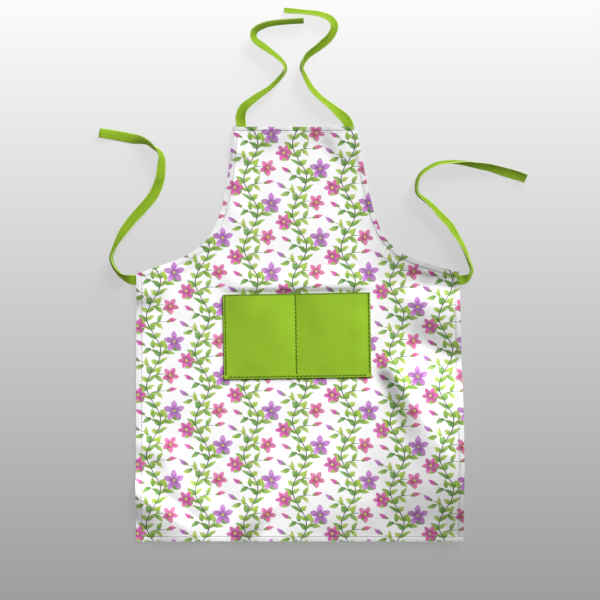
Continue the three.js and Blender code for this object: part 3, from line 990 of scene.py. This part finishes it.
def print_group():
    """The whole print: from a place on the flat cloth in metres to its colour."""
    stroke = stroke_group()
    blossom = blossom_group()
    tree, given, leave = group("vine_print", {"Place": "Vector"}, ("Colour", "Color"))
    place = vectors(tree, "SCALE", given["Place"], 1.0 / PRINT_UNIT)
    ink_cloud, _ = cloudy(tree, place, INK_LUMPS)
    ink = wire(tree, "ShaderNodeMapRange", ink_cloud, *INK_CLOUD, *INK_COVER)
    _, sway = cloudy(tree, place, SWAY_LUMPS)
    sway = vectors(tree, "SCALE", vectors(tree, "SUBTRACT", sway, (0.5, 0.5, 0.5)), SWAY)
    x, y = split(tree, vectors(tree, "ADD", place, sway))

    def lay_stroke(colour, at, row):
        name, start_x, start_y, heading, length, width, bend = row
        turn = math.radians(heading)
        base, tip = (linear(code) for code in INKS[name])
        return wire(
            tree, "ShaderNodeGroup", colour, at, (start_x, start_y, 0.0),
            (math.cos(turn), math.sin(turn), 0.0), (-math.sin(turn), math.cos(turn), 0.0),
            length, width, -ARCH_SCALE * bend, RIB_TONES[name], base, tip, ink, node_tree=stroke,
        )

    column_x, column_y = repeat_place(tree, x, y)
    swing = maths(tree, "SINE", maths(tree, "MULTIPLY", column_y, 2 * math.pi / REPEAT_HEIGHT))
    vine_x = maths(tree, "MULTIPLY_ADD", swing, -VINE_SWING, column_x)
    vine_inner, vine_outer = (VINE_WIDTH / 2 + off for off in VINE_EDGE)
    vine = ease(tree, maths(tree, "ABSOLUTE", vine_x), vine_inner, vine_outer, 1.0, 0.0)
    colour = blend(tree, vine, linear(GROUND), linear(VINE_INK))
    for name, start, heading, length, width, bend in VINE_LEAVES:
        middle = start + length * math.sin(math.radians(heading)) / 2
        leaf_y = wrapped(tree, maths(tree, "SUBTRACT", column_y, middle), VINE_LEAF_STEP)
        at = wire(tree, "ShaderNodeCombineXYZ", vine_x, leaf_y, 0.0)
        colour = lay_stroke(colour, at, (name, 0, start - middle, heading, length, width, bend))
    for (centre_x, centre_y), strokes, blossoms in SPRIGS:
        middle_x, middle_y = sprig_middle(strokes, blossoms)
        from_x = maths(tree, "SUBTRACT", x, centre_x + middle_x)
        from_y = maths(tree, "SUBTRACT", y, centre_y + middle_y)
        sprig_x, sprig_y = repeat_place(tree, from_x, from_y)
        sprig_x = maths(tree, "ADD", sprig_x, middle_x)
        sprig_y = maths(tree, "ADD", wrapped(tree, sprig_y, REPEAT_HEIGHT), middle_y)
        at = wire(tree, "ShaderNodeCombineXYZ", sprig_x, sprig_y, 0.0)
        for row in strokes:
            colour = lay_stroke(colour, at, row)
        for name, bloom_x, bloom_y, turn, radius, width, petals, heart in blossoms:
            base, tip = (linear(code) for code in INKS[name])
            colour = wire(
                tree, "ShaderNodeGroup", colour, at, (bloom_x, bloom_y, 0.0), math.radians(turn), radius,
                width, 2 * math.pi / petals, base, tip, linear(heart), ink, node_tree=blossom,
            )
    tree.links.new(colour, leave)
    return tree


def weave_group():
    """Height from 0 to 1 of a plain weave: threads that pass over and under each other."""
    tree, given, leave = group("plain_weave", {"Place": "Vector", "Thread": "Float"}, ("Height", "Float"))
    x, y = split(tree, given["Place"])
    waves = []
    for value in (x, y):
        turn = maths(tree, "DIVIDE", maths(tree, "MULTIPLY", value, math.pi), given["Thread"])
        waves.append(maths(tree, "SINE", turn))
    over = maths(tree, "MULTIPLY", *waves)
    tree.links.new(maths(tree, "MULTIPLY_ADD", over, 0.5, 0.5), leave)
    return tree


# Finishes


def new_finish(name):
    """A material with its shader, and the place on the flat cloth from its UV map."""
    finish = bpy.data.materials.new(name)
    finish.use_nodes = True
    tree = finish.node_tree
    shader = tree.nodes["Principled BSDF"]
    uv_map = tree.nodes.new("ShaderNodeUVMap")
    uv_map.uv_map = "cloth"
    return finish, tree, shader, uv_map.outputs[0]


def raise_relief(tree, shader, height, strength, depth):
    """Lets a height from 0 to 1 show as fine relief of that depth."""
    bump = tree.nodes.new("ShaderNodeBump")
    bump.inputs["Strength"].default_value = strength
    bump.inputs["Distance"].default_value = depth
    tree.links.new(height, bump.inputs["Height"])
    tree.links.new(bump.outputs[0], shader.inputs["Normal"])


def darker(code, share):
    """A colour code's linear colour, dimmed to a share of its light."""
    return tuple(share * value for value in linear(code)[:3]) + (1.0,)


def cloth_surface(tree, shader, place, colour, weave, thread, depth, rough):
    """Gives a shader its colour with painted shade in the weave's low places, its weave and dry cloth finish.
    """
    height = wire(tree, "ShaderNodeGroup", place, thread, node_tree=weave)
    slub, _ = cloudy(tree, place, SLUB_LUMPS, FINE_DETAIL)
    # Painted shade in the weave's low places; the slubs change the tone at random
    shade = maths(tree, "MULTIPLY_ADD", height, *WEAVE_SHADE_TONES)
    shade = maths(tree, "MULTIPLY_ADD", maths(tree, "SUBTRACT", slub, 0.5), SLUB_TONE, shade)
    tree.links.new(vectors(tree, "SCALE", colour, shade), shader.inputs["Base Color"])
    worn, _ = cloudy(tree, place, WORN_LUMPS)
    worn_rough = [rough + change for change in WORN_ROUGHNESS]
    tree.links.new(ease(tree, worn, *WORN_CLOUD, *worn_rough), shader.inputs["Roughness"])
    relief = maths(tree, "MULTIPLY_ADD", slub, SLUB_RELIEF, height)
    raise_relief(tree, shader, relief, WEAVE_RELIEF, depth)
    shader.inputs["Sheen Roughness"].default_value = SHEEN_ROUGHNESS


def printed_cotton(name, vine_print, weave, back=False):
    """Printed cotton, or its back where the print shows through only faintly, with painted shade on its hem
    bands.
    """
    finish, tree, shader, place = new_finish(name)
    colour = wire(tree, "ShaderNodeGroup", place, node_tree=vine_print)
    if back:
        colour = blend(tree, BACK_PALENESS, colour, linear(GROUND))
    # Painted shade: the hem bands are darker by their share of turned layers
    hem = tree.nodes.new("ShaderNodeAttribute")
    hem.attribute_name = "hem"
    hem_painted_shade = maths(tree, "MULTIPLY_ADD", hem.outputs["Fac"], -HEM_PAINTED_SHADE, 1.0)
    colour = vectors(tree, "SCALE", colour, hem_painted_shade)
    cloth_surface(tree, shader, place, colour, weave, *PRINT_WEAVE)
    shader.inputs["Sheen Weight"].default_value = COTTON_SHEEN
    shader.inputs["Specular IOR Level"].default_value = COTTON_GLOSS
    return finish


def uneven_dye(tree, place, code):
    """A plain dyed colour, a little darker in broad patches."""
    cloud, _ = cloudy(tree, place, DYE_LUMPS, FINE_DETAIL)
    return blend(tree, ease(tree, cloud, *DYE_CLOUD), darker(code, DYE_DARK), linear(code))


def pocket_cotton(weave):
    """Plain cotton, with painted shade as a darker band along its mouth."""
    finish, tree, shader, place = new_finish("green_cotton")
    _, up = split(tree, place)
    # Painted shade: a darker green band along the mouth
    mouth = ease(tree, up, POCKET_HEIGHT - MOUTH_SHADE_WIDTH, POCKET_HEIGHT - MOUTH_SHADE_WIDTH / 2)
    colour = blend(tree, mouth, uneven_dye(tree, place, POCKET_GREEN), linear(MOUTH_SHADE_GREEN))
    cloth_surface(tree, shader, place, colour, weave, *POCKET_WEAVE)
    shader.inputs["Sheen Weight"].default_value = COTTON_SHEEN
    shader.inputs["Specular IOR Level"].default_value = COTTON_GLOSS
    return finish


def tie_tape(weave):
    """Thin tape that lets some light through, with a painted highlight along its selvedges."""
    finish, tree, shader, place = new_finish("green_tape")
    across, _ = split(tree, place)
    from_middle = maths(tree, "ABSOLUTE", across)
    # Painted highlight: the tape is paler at its edges
    edge_highlight = ease(tree, from_middle, EDGE_HIGHLIGHT_START, EDGE_HIGHLIGHT_START + EDGE_HIGHLIGHT_FADE)
    colour = blend(tree, edge_highlight, uneven_dye(tree, place, TAPE_GREEN), linear(EDGE_HIGHLIGHT_GREEN))
    cloth_surface(tree, shader, place, colour, weave, *TAPE_WEAVE)
    shader.inputs["Sheen Weight"].default_value = TAPE_SHEEN
    shader.inputs["Specular IOR Level"].default_value = TAPE_GLOSS
    shader.inputs["Subsurface Weight"].default_value = TAPE_GLOW_THROUGH
    shader.inputs["Subsurface Radius"].default_value = (1.0, 1.0, 1.0)
    shader.inputs["Subsurface Scale"].default_value = TAPE_GLOW_DEPTH
    return finish


def sewing_thread(name, code):
    """Twisted thread, its plies as slanted bands with painted shade in the grooves between them."""
    finish = bpy.data.materials.new(name)
    finish.use_nodes = True
    tree = finish.node_tree
    shader = tree.nodes["Principled BSDF"]
    place = tree.nodes.new("ShaderNodeTexCoord").outputs["Object"]
    plies = tree.nodes.new("ShaderNodeTexWave")
    plies.inputs["Scale"].default_value = THREAD_PLIES
    plies.inputs["Distortion"].default_value = THREAD_WANDER
    tree.links.new(place, plies.inputs["Vector"])
    ply = plies.outputs["Fac"]
    tree.links.new(blend(tree, ply, darker(code, THREAD_GROOVE_SHADE), linear(code)), shader.inputs["Base Color"])
    tree.links.new(ease(tree, ply, 0.0, 1.0, *THREAD_ROUGHNESS), shader.inputs["Roughness"])
    shader.inputs["Specular IOR Level"].default_value = THREAD_GLOSS
    raise_relief(tree, shader, ply, THREAD_RELIEF, THREAD_RELIEF_DEPTH)
    return finish


# Floor and light


def glowing_floor():
    """Pale floor that glows, with a painted falloff of light that makes it a little darker towards the
    viewer's side.
    """
    finish = bpy.data.materials.new("glowing_floor")
    finish.use_nodes = True
    tree = finish.node_tree
    shader = tree.nodes["Principled BSDF"]
    _, y = split(tree, tree.nodes.new("ShaderNodeTexCoord").outputs["Object"])
    # Painted falloff of light: darker towards the viewer's side
    tone = wire(tree, "ShaderNodeMapRange", y, *FLOOR_FALLOFF_REACH, *FLOOR_FALLOFF_TONES)
    colour = wire(tree, "ShaderNodeGamma", tone, SCREEN_GAMMA)
    glow = vectors(tree, "SCALE", colour, FLOOR_GLOW)
    lit = vectors(tree, "SCALE", colour, 1.0 - FLOOR_GLOW)
    tree.links.new(lit, shader.inputs["Base Color"])
    tree.links.new(glow, shader.inputs["Emission Color"])
    shader.inputs["Emission Strength"].default_value = 1.0
    shader.inputs["Roughness"].default_value = FLOOR_ROUGHNESS
    shader.inputs["Specular IOR Level"].default_value = FLOOR_GLOSS
    return finish


def add_sun(name, turn, elevation, softness, share, lit):
    """A sun from a turn off +Y and a height over the floor, which lights the pieces of one collection."""
    bpy.ops.object.light_add(type="SUN", location=LIGHT_PLACE)
    sun = bpy.context.object
    sun.name = name
    level = math.cos(elevation)
    way = Vector((math.sin(turn) * level, math.cos(turn) * level, math.sin(elevation)))
    sun.rotation_euler = way.to_track_quat("Z", "Y").to_euler()
    sun.data.energy = share * math.pi / math.sin(elevation)
    sun.data.angle = softness
    sun.light_linking.receiver_collection = lit


def studio_world():
    """Even pale light from all round, seen by the camera as a backdrop of its own tone."""
    world = bpy.data.worlds.new("studio")
    world.use_nodes = True
    tree = world.node_tree
    background = tree.nodes["Background"].inputs
    background["Color"].default_value = (1.0, 1.0, 1.0, 1.0)
    seen = tree.nodes.new("ShaderNodeLightPath").outputs["Is Camera Ray"]
    strength = maths(tree, "MULTIPLY_ADD", seen, BACKDROP_TONE - WORLD_SHARE, WORLD_SHARE)
    tree.links.new(strength, background["Strength"])
    return world


# Make the pieces

weave = weave_group()
vine_print = print_group()
cotton_front = printed_cotton("printed_cotton", vine_print, weave)
cotton_back = printed_cotton("printed_cotton_back", vine_print, weave, back=True)
green_cotton = pocket_cotton(weave)
green_tape = tie_tape(weave)
dark_thread = sewing_thread("pocket_thread", POCKET_THREAD)
# The hem thread's grey is painted shade along the stitch line
shaded_hem_thread = sewing_thread("hem_thread_grey_shade", HEM_THREAD_SHADE_GREY)

panel, panel_area, hem_seams = make_apron_panel(cotton_front, cotton_back)
pocket, pocket_seams = make_pocket()
pocket.data.materials.append(green_cotton)
hem_stitches = sew("hem_stitches", hem_seams, HEM_STITCH)
hem_stitches.data.materials.append(shaded_hem_thread)
pocket_stitches = sew("pocket_stitches", pocket_seams, POCKET_STITCH, POCKET_STITCH_LEAN)
pocket_stitches.data.materials.append(dark_thread)

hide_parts("apron_panel")
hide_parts("pocket_panel")
for piece in (panel, pocket, hem_stitches, pocket_stitches):
    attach(piece, "root")

green_pieces = bpy.data.collections.new("green_pieces")
for piece in (pocket, pocket_stitches):
    green_pieces.objects.link(piece)
for tie_name, tie_route in TIE_ROUTES.items():
    tie, tie_line = make_tie(tie_name, tie_route)
    tie.data.materials.append(green_tape)
    green_pieces.objects.link(tie)
    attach(tie, "root")
    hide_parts(tie_name)

# Lay the floor, light it and place the camera

bpy.ops.object.select_all(action="DESELECT")
bpy.ops.mesh.primitive_plane_add(size=FLOOR_SIZE, location=(0.0, 0.0, 0.0))
floor = bpy.context.object
floor.name = "floor"
floor.data.materials.append(glowing_floor())

laid_cloth = bpy.data.collections.new("laid_cloth")
for piece in (panel, hem_stitches, floor):
    laid_cloth.objects.link(piece)
add_sun("key_light", KEY_TURN, KEY_ELEVATION, KEY_SOFTNESS, KEY_SHARE, laid_cloth)
add_sun("high_light", KEY_TURN, HIGH_ELEVATION, HIGH_SOFTNESS, HIGH_SHARE, green_pieces)
bpy.context.scene.world = studio_world()

bpy.ops.object.camera_add(location=CAMERA_PLACE, rotation=(0.0, 0.0, 0.0))
camera = bpy.context.object
camera.data.lens = CAMERA_LENS
camera.data.sensor_width = CAMERA_SENSOR
bpy.context.scene.camera = camera
bpy.context.scene.view_settings.view_transform = "Standard"
